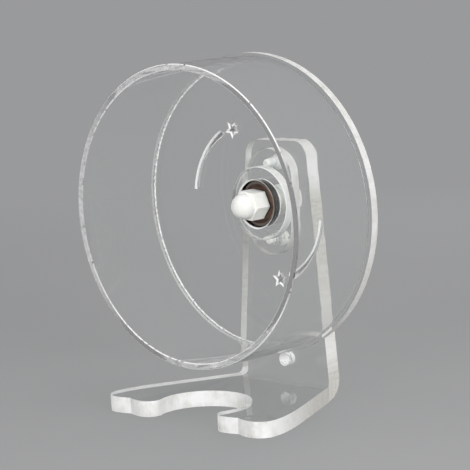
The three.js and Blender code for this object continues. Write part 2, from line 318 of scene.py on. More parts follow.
def arc(centre, radius, start, end, steps):
    """Points of an arc, both ends included."""
    return [polar(radius, start + (end - start) * step / steps, centre)
            for step in range(steps + 1)]


def mirrored(right):
    """A whole outline from its right half; a point on the middle line isn't repeated."""
    return right + [(-across, along) for across, along in reversed(right) if across > WELD]


print("45 degrees round a circle of 1:", [round(part, 3) for part in polar(1, math.pi / 4)])

# %% [markdown]
# Materials are written as expressions. A small class wraps a shader socket, so that
# 1 - mask or noise * 0.2 adds the Math nodes by itself. Every other node comes from one
# method, which takes the node's type, its settings and the values or links of its sockets,
# and gives back the node's outputs by name and by number.

# %% Shader sockets as numbers
class Socket:
    """An output of a node; sums and products of it add Math nodes."""

    def __init__(self, finish, output):
        self.finish = finish
        self.output = output

    def math(self, operation, first, second):
        return self.finish.node("Math", {0: first, 1: second}, operation=operation)[0]

    def __add__(self, other):
        return self.math("ADD", self, other)

    def __rsub__(self, other):
        return self.math("SUBTRACT", other, self)

    def __mul__(self, other):
        return self.math("MULTIPLY", self, other)

    def larger(self, other):
        return self.math("MAXIMUM", self, other)

    def above(self, level, softness):
        """0 below a level and 1 above it, with a soft step between."""
        span = {"Value": self, "From Min": level - softness, "From Max": level + softness}
        return self.finish.node("MapRange", span)[0]

    __radd__ = __add__
    __rmul__ = __mul__


class Finish:
    """A material, or the world, whose nodes are all added by node()."""

    def __init__(self, name, group=bpy.data.materials):
        self.material = group.new(name)
        self.material.use_nodes = True
        self.tree = self.material.node_tree
        self.tree.nodes.clear()
        self.place = self.node("TexCoord")["Object"]
        parts = self.node("SeparateXYZ", {"Vector": self.place})
        self.across, self.depth, self.height = parts["X"], parts["Y"], parts["Z"]

    def node(self, kind, sockets=None, **settings):
        """Adds a shader node, makes its settings and fills its sockets with values or links."""
        made = self.tree.nodes.new("ShaderNode" + kind)
        for name, value in settings.items():
            setattr(made, name, value)
        for name, value in (sockets or {}).items():
            if isinstance(value, Socket):
                self.tree.links.new(value.output, made.inputs[name])
            else:
                made.inputs[name].default_value = value
        outputs = [*made.outputs.items(), *enumerate(made.outputs)]
        return {key: Socket(self, output) for key, output in outputs}

    def noise(self, size, detail=2.0, stretch=(1, 1, 1)):
        """Soft noise with features about size metres across, longer where it is stretched."""
        scale = [1 / (size * part) for part in stretch]
        where = self.node("Mapping", {"Vector": self.place, "Scale": scale})["Vector"]
        return self.node("TexNoise", {"Vector": where, "Scale": 1.0, "Detail": detail})[0]

    def colour(self, share, first, second):
        """From the first colour to the second; a Mix node's colour sockets are 6, 7 and 2."""
        return self.node("Mix", {0: share, 6: first, 7: second}, data_type="RGBA")[2]

    def bump(self, height, distance, strength=1.0):
        """A normal that follows a height, in metres."""
        sockets = {"Height": height, "Distance": distance, "Strength": strength}
        return self.node("Bump", sockets)["Normal"]

    def principled(self, **sockets):
        """The surface shader; base_color stands for Base Color, and so on."""
        named = {name.replace("_", " ").title().replace("Ior", "IOR"): value
                 for name, value in sockets.items()}
        return self.node("BsdfPrincipled", named)["BSDF"]

    def mixed(self, share, first, second):
        """One shader changing into another."""
        return self.node("MixShader", {0: share, 1: first, 2: second})[0]

    def show(self, shader, output="OutputMaterial"):
        self.node(output, {"Surface": shader})
        return self.material


def tell(*materials):
    print("finishes:", ", ".join(material.name for material in materials))


print("materials before the first finish:", len(bpy.data.materials))

# %% [markdown]
# Clear acrylic bends light by an index of 1.49. A lamp's rays can't be aimed through glass
# by the renderer, so for the rays that carry light to a surface the clear shader is swapped
# for a plain see-through one: the piece then throws the pale shadow that real acrylic
# throws. Handling leaves faint smears, which show by their gloss more than by their colour.

# %% Clear, polished acrylic
ACRYLIC_INDEX = 1.49
CLEAR_TINT = (0.984, 0.988, 0.986, 1)
SMEAR_TINT = (0.985, 0.985, 0.98, 1)
LAMP_TINT = (0.95, 0.956, 0.953, 1)


def show_clear(finish, shader):
    """Shows the shader, but a see-through one to the rays that carry a lamp's light."""
    path = finish.node("LightPath")
    carries_light = path["Is Shadow Ray"].larger(path["Is Diffuse Ray"])
    open_way = finish.node("BsdfTransparent", {"Color": LAMP_TINT})["BSDF"]
    return finish.show(finish.mixed(carries_light, shader, open_way))


def acrylic(finish, colour, roughness, haze, **sockets):
    """Clear plastic that loses a share of the light to haze."""
    return finish.principled(base_color=colour, roughness=roughness, ior=ACRYLIC_INDEX,
                             transmission_weight=1 - haze, **sockets)


def polished_acrylic(name, haze, streaks_along):
    """Polished faces with smears and fine streaks one way."""
    finish = Finish(name)
    smear = finish.noise(18 * MM, detail=3.0).above(0.62, 0.16)
    streak = finish.noise(0.5 * MM, stretch=streaks_along).above(0.68, 0.1)
    tint = finish.colour(smear, CLEAR_TINT, SMEAR_TINT)
    waves = finish.bump(finish.noise(9 * MM, detail=1.0), distance=0.03 * MM)
    roughness = 0.012 + smear * 0.05 + streak * 0.05
    return show_clear(finish, acrylic(finish, tint, roughness, haze, normal=waves))


sheet_faces = polished_acrylic("sheet_faces", haze=0.01, streaks_along=(6, 1, 6))
drum_faces = polished_acrylic("drum_faces", haze=0.02, streaks_along=(1, 40, 1))
laser_walls = polished_acrylic("laser_walls", haze=0.3, streaks_along=(1, 20, 1))
tell(sheet_faces, drum_faces, laser_walls)

# %% [markdown]
# A sawn or milled edge scatters light, so it glows white beside the clear faces. Fine lines
# left by the cutter run across the sheet's thickness, and in places the frost is thin and
# coarse, so that it looks beige. The same beige is also laid on by place, and there it is
# mostly painted shade. The upright's long edges are beige grain at the top corners, white
# below them, darkened by painted shade along the middle, whiter low down and darkened by
# painted shade again at the fold. The oval plate's edge is beige below the bolt. On the
# foot's right flank the beige, grain and painted shade together, grows towards the rear.

# %% Cut edges
WHITE_TOP = 117 * MM
SHADE_TOP = 101 * MM
SHADE_MIDDLE = 50 * MM
OVAL_MIDDLE = 90 * MM
FOLD_TOP = 20 * MM
GRAIN_AND_SHADE_FRONT = -10 * MM
FLANK_START = 25 * MM
SHADE_AND_GRAIN_SHARE = 0.9
GRAIN_AND_SHADE_COLOUR = (0.5, 0.475, 0.415, 1)
LINES_ALONG_Y = (1, 14, 1)
LINES_UP = (1, 1, 14)


def cut_edge(name, clean, beige_by_place=None, white=0.97, lines_along=LINES_ALONG_Y):
    """Frost with cutter lines and grain, less of it the larger clean is.

    The function given after clean returns a share of beige added by place; on the upright and
    the foot's right flank much of that share is painted shade."""
    finish = Finish(name)
    lines = finish.noise(0.35 * MM, detail=3.0, stretch=lines_along)
    streaks = finish.noise(1.1 * MM, detail=3.0, stretch=lines_along).above(0.52, 0.16)
    patches = finish.noise(7 * MM, detail=3.0).above(clean, 0.22)
    if beige_by_place:
        patches = patches.larger(beige_by_place(finish))
    speckle = finish.noise(0.5 * MM).above(0.52, 0.12)
    # The beige share is random grain plus, where a place function adds it, painted shade.
    grain_and_painted_shade = patches * (0.4 + speckle * 0.4 + streaks * 0.2) + streaks * 0.06
    colour = finish.colour(grain_and_painted_shade, (white, white, 0.99 * white, 1), GRAIN_AND_SHADE_COLOUR)
    grooves = finish.bump(lines * 0.6 + streaks * 0.4, distance=0.08 * MM, strength=0.8)
    frost = acrylic(finish, colour, 0.42 + lines * 0.25, 0.92, normal=grooves)
    return show_clear(finish, frost)


# Painted shade: the upright's edges are darkened along the middle and at the fold, where less
# light reaches; only the top corners get beige grain.
def grain_and_shade_on_the_upright(finish):
    top_corners = finish.height.above(WHITE_TOP, 3 * MM)
    below_top = 1 - finish.height.above(SHADE_TOP, 5 * MM)
    at_the_fold = 1 - finish.height.above(FOLD_TOP, 8 * MM)
    along = below_top * (0.3 + finish.height.above(SHADE_MIDDLE, 25 * MM) * 0.7)
    return top_corners * 0.5 + along.larger(at_the_fold * SHADE_AND_GRAIN_SHARE)


# The oval plate's edge turns beige below the height of the bolt.
def beige_below_the_bolt(finish):
    return (1 - finish.height.above(OVAL_MIDDLE, 6 * MM)) * 0.7


# Beige grain and painted shade: the right flank's edge darkens towards the rear, which gets less
# light.
def grain_and_shade_at_the_right_rear(finish):
    on_right_flank = finish.across.above(FLANK_START, 3 * MM)
    return on_right_flank * finish.depth.above(GRAIN_AND_SHADE_FRONT, 20 * MM) * SHADE_AND_GRAIN_SHARE


ring_edges = cut_edge("ring_edges", clean=0.62, white=0.86)
hub_edges = cut_edge("hub_edges", clean=0.66)
upright_edges = cut_edge("upright_edges", clean=0.72, beige_by_place=grain_and_shade_on_the_upright)
oval_edges = cut_edge("oval_edges", clean=0.5, beige_by_place=beige_below_the_bolt)
foot_edges = cut_edge("foot_edges", clean=0.64, beige_by_place=grain_and_shade_at_the_right_rear,
                      lines_along=LINES_UP)
tell(ring_edges, hub_edges, upright_edges, oval_edges, foot_edges)

# %% [markdown]
# An arris is the thin chamfer between a face and a cut edge. It is chipped by the saw, so
# it sparkles: frosted over most of its length, with short clear gaps. The sawn end of the
# tube is the other way round, mostly hazy with frosted patches. Over longer stretches the
# frost comes and goes, as the saw cut faster or slower. Where the photo has it unlike that,
# a function of the place changes it: the rim's outer arris is fainter at the far right and
# its inner one at the far left, the sawn end gets more white frost at the far left as a
# painted highlight, and the cement and the glued end keep their frost in the left half only,
# where it also paints the glint that they catch on that side.

# %% Broken frost
FAR_RIGHT = 63 * MM
RIGHT_FADE = 5 * MM
FAR_LEFT = -52 * MM
LEFT_FADE = 12 * MM
HALF_WAY = -5 * MM
HALF_WAY_FADE = 15 * MM
GRIT_COLOUR = (0.97, 0.97, 0.96, 1)


def broken_frost(name, size, gaps, white, softness=0.08, haze=0.0, sway=0.3, keep=None,
                 add=None):
    """Frost with gaps; keep(finish) is the share to keep, add(finish) is always frosted."""
    finish = Finish(name)
    stretches = finish.noise(30 * MM, detail=1.0) * sway
    chips = (finish.noise(size, detail=3.0) + stretches).above(gaps + sway / 2, softness)
    if keep:
        chips = chips * keep(finish)
    if add:
        chips = chips.larger(add(finish))
    clear = acrylic(finish, CLEAR_TINT, 0.05 + haze * 0.3, haze)
    grit = finish.noise(0.3 * MM)
    white_grit = finish.colour(grit, (white, white, white, 1), GRIT_COLOUR)
    frost = acrylic(finish, white_grit, 0.35 + grit * 0.3, 0.9)
    return show_clear(finish, finish.mixed(chips, clear, frost))


def off_the_far_right(finish):
    return 1 - finish.across.above(FAR_RIGHT, RIGHT_FADE) * 0.8


# Painted highlight: extra white frost on the far left of the sawn end.
def painted_highlight_far_left(finish):
    patches = 0.35 + finish.noise(2 * MM, detail=3.0).above(0.5, 0.2) * 0.35
    return (1 - finish.across.above(FAR_LEFT, LEFT_FADE)) * patches


def off_the_far_left(finish):
    return 0.55 + finish.across.above(FAR_LEFT, LEFT_FADE) * 0.45


# Painted highlight: frost kept to the left half stands for the glint that the cement and the
# glued end catch there.
def glint_on_left_half(finish):
    return 1 - finish.across.above(HALF_WAY, HALF_WAY_FADE)


outer_rim_arris = broken_frost("outer_rim_arris", size=1.6 * MM, gaps=0.36, white=0.96,
                               sway=0.4, keep=off_the_far_right)
inner_rim_arris = broken_frost("inner_rim_arris", size=2 * MM, gaps=0.32, white=0.94,
                               softness=0.12, keep=off_the_far_left)
sheet_arris = broken_frost("sheet_arris", size=2.5 * MM, gaps=0.36, white=0.96)
laser_arris = broken_frost("laser_arris", size=3 * MM, gaps=0.2, white=0.97)
rim_face = broken_frost("sawn_rim", size=3 * MM, gaps=0.78, white=0.9, haze=0.24, sway=0.5,
                        add=painted_highlight_far_left)
drilled_walls = broken_frost("drilled_walls", size=4 * MM, gaps=0.42, white=0.96, haze=0.08)
# The glued end and the cement have real frost, kept to the left half as a painted glint.
glued_face_with_glint = broken_frost("glued_rim", size=1.5 * MM, gaps=0.58, white=0.85, softness=0.25,
                          haze=0.02, keep=glint_on_left_half)
cement = broken_frost("dried_cement", size=1.4 * MM, gaps=0.36, white=0.82, softness=0.25,
                      keep=glint_on_left_half)
tell(outer_rim_arris, inner_rim_arris, sheet_arris, laser_arris)
tell(rim_face, drilled_walls, glued_face_with_glint, cement)

# %% [markdown]
# The nut, bolt, spacer and screws are white nylon: a satin white, a little warm, with the
# faint mottling of a moulded part. The bearing is ground steel, its shields are pressed and
# dark, and the cage inside is brown nylon. Where the bearing is pressed into clear sheet, its
# side shows through as a dark band, and the walls of that bore get a near-black steel that
# paints that band as shade.

# %% Nylon and steel
def nylon(name, white, warm):
    finish = Finish(name)
    mottle = finish.noise(2.5 * MM, detail=3.0)
    pores = finish.noise(0.25 * MM)
    surface = finish.principled(
        base_color=finish.colour(mottle.above(0.5, 0.3), white, warm),
        roughness=0.34 + mottle * 0.18,
        subsurface_weight=0.15,
        subsurface_radius=(1.2 * MM, 1.0 * MM, 0.8 * MM),
        subsurface_scale=1.0,
        normal=finish.bump(pores, distance=0.015 * MM, strength=0.5))
    return finish.show(surface)


def steel(name, light, dark, ring_pitch, roughness):
    """Metal with fine turned rings about the wheel's axis."""
    finish = Finish(name)
    flat = {"Vector": finish.place, "Location": -AXIS, "Scale": (1, 0, 1)}
    across = finish.node("Mapping", flat)["Vector"]
    radius = finish.node("VectorMath", {0: across}, operation="LENGTH")["Value"]
    turns = {"W": radius * (1 / ring_pitch), "Scale": 1.0, "Detail": 2.0}
    rings = finish.node("TexNoise", turns, noise_dimensions="1D")[0]
    film = finish.noise(3 * MM, detail=3.0)
    surface = finish.principled(
        base_color=finish.colour(film.above(0.5, 0.25), light, dark),
        metallic=1.0,
        roughness=roughness + rings * 0.12 + film * 0.1,
        normal=finish.bump(rings, distance=0.01 * MM, strength=0.6))
    return finish.show(surface)


white_nylon = nylon("white_nylon", (0.95, 0.945, 0.93, 1), (0.93, 0.91, 0.86, 1))
cage_nylon = nylon("cage_nylon", (0.42, 0.33, 0.24, 1), (0.34, 0.25, 0.17, 1))
bearing_steel = steel("bearing_steel", (0.38, 0.32, 0.29, 1), (0.28, 0.22, 0.19, 1),
                      ring_pitch=0.25 * MM, roughness=0.12)
# Painted shade: a near-black steel for the dark band where the bearing shows through its seat.
seat_painted_shade = steel("steel_behind_clear_seat", (0.05, 0.042, 0.038, 1), (0.03, 0.025, 0.022, 1),
                   ring_pitch=0.5 * MM, roughness=0.25)
shield_steel = steel("shield_steel", (0.21, 0.135, 0.11, 1), (0.13, 0.08, 0.065, 1),
                     ring_pitch=0.4 * MM, roughness=0.18)
tell(white_nylon, cage_nylon, bearing_steel, seat_painted_shade, shield_steel)

# %% [markdown]
# One helper shades and dresses a finished piece and hands it to the frame: it hangs the piece
# on the body that carries it and hides the node that it stands for.
# A face of a clear piece is polished, cut or an arris, and the angle between its normal and
# the way that the sheet faces there tells which.

# %% Dressing and handing over
FACE_LEAN = 0.97
EDGE_LEAN = 0.25
SHEET_SMOOTH = 20
MOULDING_SMOOTH = 35


def by_lean(face, faces_towards, polished, edge, arris):
    """The finish of a face by how its normal leans against the way that the sheet faces."""
    lean = abs(face.normal.dot(faces_towards))
    if lean > FACE_LEAN:
        return polished
    return edge if lean < EDGE_LEAN else arris


def dress(piece, finish):
    """One finish for every face, or for each face the one that a function of it returns."""
    finishes = []
    for face in piece.data.polygons:
        chosen = finish(face) if callable(finish) else finish
        if chosen not in finishes:
            finishes.append(chosen)
            piece.data.materials.append(chosen)
        face.material_index = finishes.index(chosen)


def hand_over(piece, finish, body, node=None, smooth_below=SHEET_SMOOTH):
    """Shades, dresses and hands over; edges sharper than smooth_below degrees stay sharp."""
    activate(piece)
    bpy.ops.object.shade_smooth_by_angle(angle=math.radians(smooth_below))
    dress(piece, finish)
    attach(piece, body)
    if node:
        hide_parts(node)
    print(piece.name, "rides on", body, "with", len(piece.data.polygons), "faces")


# %% [markdown]
# The drum is a length of extruded tube. A cylinder gets both its ends inset by the wall,
# and the two inner discs are bridged, which makes the bore. Its rims are sawn: the end face
# is dull between two chipped arrises that sparkle. The end that is glued to the disc stops a
# hair short of it, because two clear faces in one place confuse the renderer.

# %% Drum
DRUM_WALL = 3 * MM
DRUM_ARRIS = 0.45 * MM
GLUE_LINE = 0.02 * MM


def away_from_axis(point):
    """How far a point is from the wheel's axis."""
    return math.hypot(point.x, point.z - axis_height)


drum_radius = radius_of("drum_ring")
drum = bar("clear_drum", drum_radius, rim_front, drum_back - GLUE_LINE, WHEEL_SIDES)
edit(drum, "FACE", lambda face: abs(face.normal.y) > FACE_LEAN)
bpy.ops.mesh.inset(thickness=DRUM_WALL, depth=0)
bpy.ops.mesh.bridge_edge_loops()
leave_edit()
bevel_arrises(drum, DRUM_ARRIS)


def drum_finish(face):
    """The open rim is sawn and chipped; the other end is glued and has no arris."""
    if face.center.y > (rim_front + drum_back) / 2:
        return by_lean(face, ALONG_AXIS, glued_face_with_glint, drum_faces, drum_faces)
    outside = away_from_axis(face.center) > drum_radius - DRUM_WALL / 2
    arris = outer_rim_arris if outside else inner_rim_arris
    return by_lean(face, ALONG_AXIS, rim_face, drum_faces, arris)


hand_over(drum, drum_finish, "wheel", "drum_ring")

# %% [markdown]
# Solvent cement joins the tube to the disc. It creeps through the joint and dries as a thin
# bead in the inner corner, which is the broken line that shows inside the wheel. Its frost is
# kept to the left half, where it is a painted glint. The bead is a three-cornered profile,
# spun round the axis. It stands for no solid of the construction.

# %% Cement bead
BEAD_SIZE = 0.5 * MM
bore_radius = drum_radius - DRUM_WALL
bead_back = disc_front - GLUE_LINE
bead = turned("cement_bead", [
    (bore_radius - GLUE_LINE, bead_back - BEAD_SIZE), (bore_radius - GLUE_LINE, bead_back),
    (bore_radius - BEAD_SIZE, bead_back)], WHEEL_SIDES)
hand_over(bead, cement, "wheel")

# %% [markdown]
# The disc is cut from sheet. Two small stars and two long curved slots, which taper like
# comet tails, go right through it, and each is repeated half a turn round. Their outlines
# are worked out here, drawn as plates a little thicker than the disc, and cut away. The laser
# widens a slot where it goes in, so the walls lie inside the outline by that chamfer.

# %% Outlines of the stars and tails
STAR_TIPS = 5
STAR_SPAN = 9 * MM
STAR_WAIST_SHARE = 0.46
STAR_PITCH_RADIUS = 37 * MM
STAR_ANGLE = math.radians(21.4)
TAIL_RADIUS = 40 * MM
TAIL_WIDTH = 3.4 * MM
TAIL_TIP_WIDTH = 0.8 * MM
TAIL_ANGLES = math.radians(33.6), math.radians(82)
TAIL_STEPS = 32
LASER_CHAMFER = 0.7 * MM
NARROWEST = 0.3 * MM


def star_outline(turn):
    """A star with one tip pointing down at no turn, drawn in from its mouth by the chamfer."""
    angle = STAR_ANGLE + turn
    centre = Vector((-STAR_PITCH_RADIUS * math.sin(angle), STAR_PITCH_RADIUS * math.cos(angle)))
    tip = Vector((STAR_SPAN / 2, 0))
    waist = STAR_WAIST_SHARE * STAR_SPAN / 2 * Vector(polar(1, math.pi / STAR_TIPS))
    middle_to_side = abs(tip.cross(waist)) / (tip - waist).length
    shrink = 1 - LASER_CHAMFER / middle_to_side
    points = []
    for corner in range(2 * STAR_TIPS):
        reach = shrink * STAR_SPAN / 2 * (STAR_WAIST_SHARE if corner % 2 else 1)
        points.append(polar(reach, turn - math.pi / 2 + corner * math.pi / STAR_TIPS, centre))
    return points


def tail_outline(turn):
    """A curved slot, round at its wide end, whose outer edge keeps one radius."""
    start, end = [math.pi / 2 + angle + turn for angle in TAIL_ANGLES]
    outer_radius = TAIL_RADIUS - LASER_CHAMFER
    cap_radius = TAIL_WIDTH / 2 - LASER_CHAMFER
    cap_middle = outer_radius - cap_radius
    cap = arc(polar(cap_middle, start), cap_radius, start - math.pi, start, TAIL_STEPS // 2)
    outer = arc((0, 0), outer_radius, start, end, TAIL_STEPS)[1:]
    inner = []
    for step, (across, up) in enumerate(outer, start=1):
        mouth = TAIL_WIDTH + (TAIL_TIP_WIDTH - TAIL_WIDTH) * step / TAIL_STEPS
        width = max(mouth - 2 * LASER_CHAMFER, NARROWEST)
        inner.append((across * (1 - width / outer_radius), up * (1 - width / outer_radius)))
    return cap + outer + inner[::-1]


print("a star has", 2 * STAR_TIPS, "corners and a tail", len(tail_outline(0)), "points")

# %% [markdown]
# The outlines lie in the disc's plane. One helper stands them up round the axis and gives
# them depth, and the disc is then cut by all of them and by the bearing's seat.

# %% Disc
BEARING_SEAT_RADIUS = 11.15 * MM
BEARING_SEAT = (BEARING_SEAT_RADIUS, HUB_SIDES, axis_height)
DISC_ARRIS = 0.4 * MM


def upright_tool(outline, front, back):
    """A plate whose outline is drawn in X and height above the axis."""
    corners = [AXIS + Vector((across, front, up)) for across, up in outline]
    return drawn_plate("tool", corners, Vector((0, back - front, 0)))


disc = bar("clear_disc", radius_of("back_disc"), disc_front, disc_back - GLUE_LINE, WHEEL_SIDES)
drill(disc, [BEARING_SEAT], disc_front, disc_back)
for turn in (0, math.pi):
    for outline in (star_outline(turn), tail_outline(turn)):
        cut(disc, upright_tool(outline, disc_front - OVERRUN, disc_back + OVERRUN))
walls = {key for wall in disc.data.polygons if abs(wall.normal.y) < EDGE_LEAN
         and away_from_axis(wall.center) < TAIL_RADIUS + OVERRUN for key in wall.edge_keys}
corners = disc.data.vertices
edit(disc, "EDGE", lambda edge: edge.key in walls and all(
    corners[number].co.y < disc_front + WELD for number in edge.vertices))
bpy.ops.mesh.bevel(offset=LASER_CHAMFER, segments=1)
leave_edit()
bevel_arrises(disc, DISC_ARRIS, sharper_than=60)


def is_seat(face):
    """A wall of the bore that holds the bearing; it gets painted shade for the race seen
    through.
    """
    return in_a_hole(face, [BEARING_SEAT]) and abs(face.normal.y) < EDGE_LEAN


def disc_finish(face):
    """The laser leaves clear walls and a white line where it goes in; the outside is sawn."""
    at_front = face.center.y < (disc_front + disc_back) / 2
    if is_seat(face):
        return seat_painted_shade
    if away_from_axis(face.center) < TAIL_RADIUS + OVERRUN:
        arris = laser_arris if at_front else laser_walls
        return by_lean(face, ALONG_AXIS, sheet_faces, laser_walls, arris)
    arris = sheet_faces if at_front else sheet_arris
    return by_lean(face, ALONG_AXIS, sheet_faces, ring_edges, arris)


hand_over(disc, disc_finish, "wheel", "back_disc")

# %% [markdown]
# Behind the disc a clear collar is glued on, to take the part of the bearing that the disc
# is too thin to hold. It is a short turned ring.

# %% Hub ring
def ring(name, inner, outer, front, back, chamfer, sides=HUB_SIDES):
    """A turned ring with its four arrises broken."""
    profile = [(inner + chamfer, front), (outer - chamfer, front), (outer, front + chamfer),
               (outer, back - chamfer), (outer - chamfer, back), (inner + chamfer, back),
               (inner, back - chamfer), (inner, front + chamfer)]
    return turned(name, profile, sides)


hub_front, hub_back = depths("hub_ring")
hub_ring = ring("clear_hub_ring", BEARING_SEAT_RADIUS, radius_of("hub_ring"),
                hub_front + GLUE_LINE, hub_back, DISC_ARRIS)


def hub_finish(face):
    """Sawn and white outside; the bore gets painted shade for the bearing's side."""
    if is_seat(face):
        return seat_painted_shade
    return by_lean(face, ALONG_AXIS, sheet_faces, hub_edges, sheet_arris)


hand_over(hub_ring, hub_finish, "wheel", "hub_ring")

# %% [markdown]
# The bearing is the common 8 by 22 by 7 mm size. Its races are turned with a round groove
# for the balls, and small chamfers lead them into their seats. The groove's arc is the same
# one for both, mirrored about the circle on which the balls run.

# %% Bearing races
BALL_CIRCLE = 7.5 * MM
GROOVE_RADIUS = 2.135 * MM
OUTER_LAND = 8.9 * MM
INNER_LAND = 6.05 * MM
SHIELD_SEAT = 9.4 * MM
SHIELD_SEAT_WIDTH = 0.7 * MM
BORE = 4 * MM
RACE_CHAMFER = 0.3 * MM
GROOVE_STEPS = 16
race_middle = (bearing_front + bearing_back) / 2
seat_front = bearing_front + SHIELD_SEAT_WIDTH
seat_back = bearing_back - SHIELD_SEAT_WIDTH


def groove(land, middle_angle):
    """The arc of the ball groove, from one edge of the land to the other."""
    reach = abs(land - BALL_CIRCLE)
    half = math.atan2(math.sqrt(GROOVE_RADIUS ** 2 - reach ** 2), reach)
    return arc((BALL_CIRCLE, race_middle), GROOVE_RADIUS, middle_angle + half,
               middle_angle - half, GROOVE_STEPS)


outer_radius = radius_of("bearing_outer_race")
outer_race = turned("bearing_outer_ring", [
    (SHIELD_SEAT, bearing_front), (outer_radius - RACE_CHAMFER, bearing_front),
    (outer_radius, bearing_front + RACE_CHAMFER), (outer_radius, bearing_back - RACE_CHAMFER),
    (outer_radius - RACE_CHAMFER, bearing_back), (SHIELD_SEAT, bearing_back),
    (SHIELD_SEAT, seat_back), (OUTER_LAND, seat_back),
    *groove(OUTER_LAND, 0),
    (OUTER_LAND, seat_front), (SHIELD_SEAT, seat_front),
], HUB_SIDES)
inner_race = turned("bearing_inner_ring", [
    (BORE + RACE_CHAMFER, bearing_front), (INNER_LAND, bearing_front),
    *groove(INNER_LAND, math.pi),
    (INNER_LAND, bearing_back), (BORE + RACE_CHAMFER, bearing_back),
    (BORE, bearing_back - RACE_CHAMFER), (BORE, bearing_front + RACE_CHAMFER),
], HUB_SIDES)
hand_over(outer_race, bearing_steel, "wheel", "bearing_outer_race")
hand_over(inner_race, bearing_steel, "stand_and_axle", "bearing_inner_race")

# %% [markdown]
# A shield is a thin pressed washer: flat at its outer edge, where it is held in the outer
# race, with a step down to a flat that lies just clear of the inner race. The two are the
# same profile, mirrored about the middle of the bearing.

# %% Bearing shields
SHIELD_SHEET = 0.2 * MM
SHIELD_STEP = 0.15 * MM
SHIELD_RIM = 0.7 * MM
SHIELD_SLOPE = 0.2 * MM
SHIELD_GAP = 0.3 * MM
shield_inner = INNER_LAND + SHIELD_GAP


def shield(name, node, inwards):
    """A stepped washer; inwards is 1 or -1 and points along Y to the balls."""
    radius = radius_of(node)
    outer_face = depths(node)[0 if inwards > 0 else 1]
    lowered = outer_face + SHIELD_STEP * inwards
    sheet = SHIELD_SHEET * inwards
    rim = radius - SHIELD_RIM
    slope = rim - SHIELD_SLOPE
    piece = turned(name, [
        (radius, outer_face), (rim, outer_face), (slope, lowered), (shield_inner, lowered),
        (shield_inner, lowered + sheet), (slope, lowered + sheet), (rim, outer_face + sheet),
        (radius, outer_face + sheet),
    ], HUB_SIDES)
    hand_over(piece, shield_steel, "wheel", node)


shield("front_shield", "bearing_front_shield", 1)
shield("rear_shield", "bearing_rear_shield", -1)

# %% [markdown]
# The balls and the cage that spaces them lie behind the shields. Their own solids from the
# construction are round enough there, so they stay, and only get their finishes.

# %% Balls and cage
balls = [solid for node, solid in frame["nodes"].items() if node.startswith("bearing_ball_")]
for ball in balls:
    ball.material_slots[0].material = bearing_steel
frame["nodes"]["bearing_cage"].material_slots[0].material = cage_nylon
print(len(balls), "balls and their cage keep their own solids")

# %% [markdown]
# The cap nut is a moulded hexagon with a dome on a short collar. It came to rest turned by
# some 24 degrees from a corner at the top. The dome is joined to a hexagonal bar whose front
# corners are turned down to a cone, then the blind bore is cut from behind, and all arrises
# are rounded, as a moulding's are. All the white pieces stand still, on the stand's body.

# %% Cap nut
def hand_over_moulding(piece, node):
    hand_over(piece, white_nylon, "stand_and_axle", node, MOULDING_SMOOTH)


NUT_TURN = math.radians(24)
NUT_DOME_RADIUS = 6 * MM
NUT_COLLAR = 1.5 * MM
NUT_CORNER_TURN = 0.6 * MM
NUT_ROUNDING = 0.4 * MM
NUT_BORE_RADIUS = 4 * MM
NUT_BORE_DEPTH = 10 * MM
DOME_STEPS = 20
HEXAGON = 6
MOULDING_CORNER = 25

nut_tip, nut_back = depths("cap_nut")
dome_middle = nut_tip + NUT_DOME_RADIUS
hex_front = dome_middle + NUT_COLLAR
low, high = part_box("cap_nut")
corner_radius = (high.z - low.z) / 2 / math.cos(NUT_TURN)
past_corners = corner_radius + OVERRUN
cap_nut = bar("domed_cap_nut", corner_radius, hex_front, nut_back, HEXAGON, turn=-NUT_TURN)
boolean(cap_nut, turned("tool", [
    (0, hex_front - OVERRUN), (corner_radius - NUT_CORNER_TURN, hex_front - OVERRUN),
    (corner_radius - NUT_CORNER_TURN, hex_front),
    (past_corners, hex_front + NUT_CORNER_TURN + OVERRUN / 2),
    (past_corners, nut_back + OVERRUN), (0, nut_back + OVERRUN),
], HUB_SIDES), "INTERSECT")
boolean(cap_nut, turned("tool", [
    *arc((0, dome_middle), NUT_DOME_RADIUS, -math.pi / 2, 0, DOME_STEPS),
    (NUT_DOME_RADIUS, hex_front + NUT_CORNER_TURN), (0, hex_front + NUT_CORNER_TURN),
], HUB_SIDES), "UNION")
cut(cap_nut, bar("tool", NUT_BORE_RADIUS, nut_back - NUT_BORE_DEPTH, nut_back + OVERRUN,
                 SCREW_SIDES))
bevel_arrises(cap_nut, NUT_ROUNDING, steps=3, sharper_than=MOULDING_CORNER)
hand_over_moulding(cap_nut, "cap_nut")

# %% [markdown]
# Threads are real helices. A zigzag one pitch long is wound up by a Screw modifier round
# the Y axis, both ends are cut flat by bisecting, and a turned blank gives the tip its cone.

# %% Threaded bars
THREAD_STEPS = 32
THREAD_DEPTH_SHARE = 0.55
SPARE_TURNS = 2


